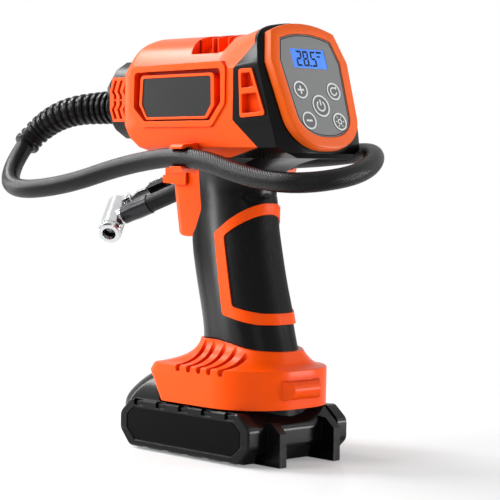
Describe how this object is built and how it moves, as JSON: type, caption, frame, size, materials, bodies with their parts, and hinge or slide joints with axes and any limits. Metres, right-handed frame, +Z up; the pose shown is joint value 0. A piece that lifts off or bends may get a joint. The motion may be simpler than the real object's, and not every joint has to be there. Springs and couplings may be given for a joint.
{
  "type": "portable tire inflator",
  "caption": "Cordless pistol-grip air inflator with tilted control panel, slide-on battery, braided hose held in side clips and a lever-locked valve chuck.",
  "frame": {"origin": "on the floor under the middle of the battery, where the battery stands", "axes": "+X from the nose and hose outlet towards the control panel, -Y towards the side with the battery label in the picture, +Z up along the handle"},
  "size_m": [0.2627, 0.1069, 0.2341],
  "materials": {
    "orange_plastic": "satin moulded",
    "black_plastic": "semi-gloss moulded",
    "orange_rubber": "soft satin",
    "black_rubber": "matt, fine stipple on the pads",
    "label_film": "bare film",
    "panel_grey": "fine satin",
    "key_grey": "satin",
    "lcd_glass": "backlit blue",
    "lens_clear": "clear",
    "circuit_board": "solder mask",
    "electronics": "moulded",
    "cell_wrap": "shrink film",
    "braided_hose": "woven jacket with a slight sheen",
    "wire_insulation": "smooth",
    "rubber_tube": "smooth",
    "chrome": "polished plating",
    "black_metal": "satin black",
    "steel": "plain",
    "aluminium": "cast",
    "brass": "turned",
    "white_nylon": "moulded"
  },
  "bodies": {
    "tool": {"air_pipe": "rubber_tube", "base_shoe": "orange_plastic", "bezel": "orange_plastic", "chuck_head": "chrome", "chuck_seal": "black_rubber", "chuck_stem": "black_metal", "control_panel": "panel_grey", "cylinder": "aluminium", "cylinder_head": "aluminium", "display_board": "circuit_board", "gear_bracket": "steel", "grip_borders": "orange_rubber", "grip_pads": "black_rubber", "head_shell_far": "orange_plastic", "head_shell_near": "orange_plastic", "hose": "braided_hose", "hose_barb": "brass", "hose_boot": "black_rubber", "housing_far": "black_plastic", "housing_near": "black_plastic", "housing_screws": "steel", "label_plates": "label_film", "lcd_module": "electronics", "lcd_window": "lcd_glass", "lever_pin": "steel", "light_lens": "lens_clear", "motor": "steel", "nose": "black_plastic", "nose_grilles": "orange_plastic", "pressure_sensor": "electronics", "side_vents": "orange_plastic", "tact_switches": "electronics", "terminal_block": "electronics", "trigger_spring": "steel", "trigger_switch": "electronics", "wire_bundle": "wire_insulation"},
    "battery": {"battery_lower": "black_plastic", "battery_upper": "black_plastic", "battery_cells": "cell_wrap", "battery_board": "circuit_board", "battery_labels": "label_film", "charge_socket": "brass", "latch_spring": "steel"},
    "release": {"release_button": "black_plastic"},
    "latch": {"latch_hook": "steel"},
    "trigger": {"trigger": "orange_plastic", "trigger_strip": "black_rubber"},
    "lever": {"chuck_lever": "chrome", "thumb_pad": "black_plastic"},
    "pinion": {"pinion_shaft": "steel", "fan": "white_nylon"},
    "gear": {"gear": "white_nylon", "crank": "steel"},
    "piston": {"piston": "aluminium"},
    "rod": {"connecting_rod": "aluminium"},
    "key_plus": {"key_plus": "key_grey"},
    "key_mode": {"key_mode": "key_grey"},
    "key_minus": {"key_minus": "key_grey"},
    "key_light": {"key_light": "key_grey"},
    "key_power": {"key_power": "key_grey"}
  },
  "joints": [
    {"name": "trigger_pull", "type": "slide", "parent": "tool", "child": "trigger", "axis": [1, 0, 0], "range_m": [0, 0.005], "stiffness_N_per_m": 600, "springref_m": -0.004, "deforming": ["trigger_spring"]},
    {"name": "battery_slide", "type": "slide", "parent": "tool", "child": "battery", "axis": [-1, 0, 0], "range_m": [0, 0.075]},
    {"name": "release_press", "type": "slide", "parent": "battery", "child": "release", "axis": [0.7001, 0, -0.7141], "range_m": [0, 0.003], "stiffness_N_per_m": 800, "springref_m": -0.001},
    {"name": "latch_drop", "type": "slide", "parent": "battery", "child": "latch", "axis": [0, 0, -1], "range_m": [0, 0.0026], "deforming": ["latch_spring"]},
    {"name": "lever_flip", "type": "hinge", "parent": "tool", "child": "lever", "pos_m": [-0.12341, 0.02692, 0.13525], "axis": [-0.0664, -0.6478, 0.7589], "range_deg": [0, 90]},
    {"name": "gear_spin", "type": "hinge", "parent": "tool", "child": "gear", "pos_m": [-0.012, 0, 0.20735], "axis": [1, 0, 0], "continuous": true},
    {"name": "pinion_spin", "type": "hinge", "parent": "tool", "child": "pinion", "pos_m": [-0.02, 0, 0.188], "axis": [1, 0, 0], "continuous": true},
    {"name": "piston_stroke", "type": "slide", "parent": "tool", "child": "piston", "axis": [0, 0, 1], "range_m": [0, 0.012]},
    {"name": "rod_swing", "type": "hinge", "parent": "piston", "child": "rod", "pos_m": [0.008, 0, 0.17135], "axis": [1, 0, 0], "range_deg": [-11, 11]},
    {"name": "key_plus_press", "type": "slide", "parent": "tool", "child": "key_plus", "axis": [-0.9373, 0, -0.3486], "range_m": [0, 0.0005], "stiffness_N_per_m": 600, "springref_m": -0.0005},
    {"name": "key_mode_press", "type": "slide", "parent": "tool", "child": "key_mode", "axis": [-0.9373, 0, -0.3486], "range_m": [0, 0.0005], "stiffness_N_per_m": 600, "springref_m": -0.0005},
    {"name": "key_minus_press", "type": "slide", "parent": "tool", "child": "key_minus", "axis": [-0.9373, 0, -0.3486], "range_m": [0, 0.0005], "stiffness_N_per_m": 600, "springref_m": -0.0005},
    {"name": "key_light_press", "type": "slide", "parent": "tool", "child": "key_light", "axis": [-0.9373, 0, -0.3486], "range_m": [0, 0.0005], "stiffness_N_per_m": 600, "springref_m": -0.0005},
    {"name": "key_power_press", "type": "slide", "parent": "tool", "child": "key_power", "axis": [-0.9373, 0, -0.3486], "range_m": [0, 0.0005], "stiffness_N_per_m": 600, "springref_m": -0.0005}
  ],
  "couplings": [
    {"joint": "pinion_spin", "follows": "gear_spin", "ratio": -2.5833},
    {"joint": "latch_drop", "follows": "release_press", "ratio": 0.8666}
  ]
}
